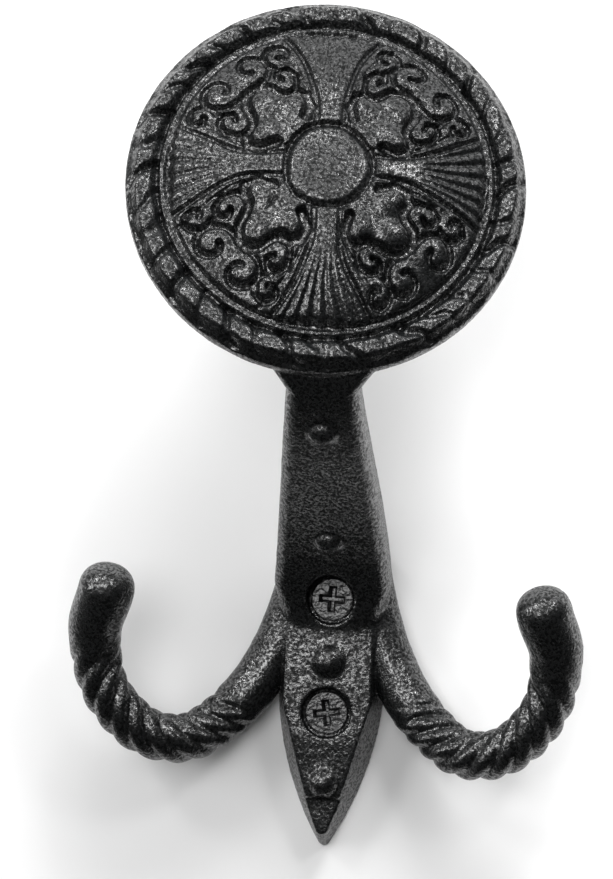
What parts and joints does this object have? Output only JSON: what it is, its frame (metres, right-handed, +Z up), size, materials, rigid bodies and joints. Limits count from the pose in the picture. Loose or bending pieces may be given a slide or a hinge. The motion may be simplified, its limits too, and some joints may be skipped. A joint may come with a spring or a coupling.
{
  "type": "coat hook",
  "caption": "Cast-iron wall coat hook with a tilted round ornamental medallion on a sloping neck above a pointed wall plate and upturned rope-twisted prongs, held by wood screws.",
  "frame": {"origin": "on the wall face of the plate, midway between the screws", "axes": "+X to the viewer's right, +Y into the wall, +Z up, so the front faces -Y"},
  "size_m": [0.0986, 0.074, 0.1612],
  "materials": {
    "painted_iron": "semi-gloss black over fine sand-cast grain",
    "black_screw": "satin black"
  },
  "bodies": {
    "root": {"hook_casting": "painted_iron", "wood_screws": "black_screw"}
  },
  "joints": []
}
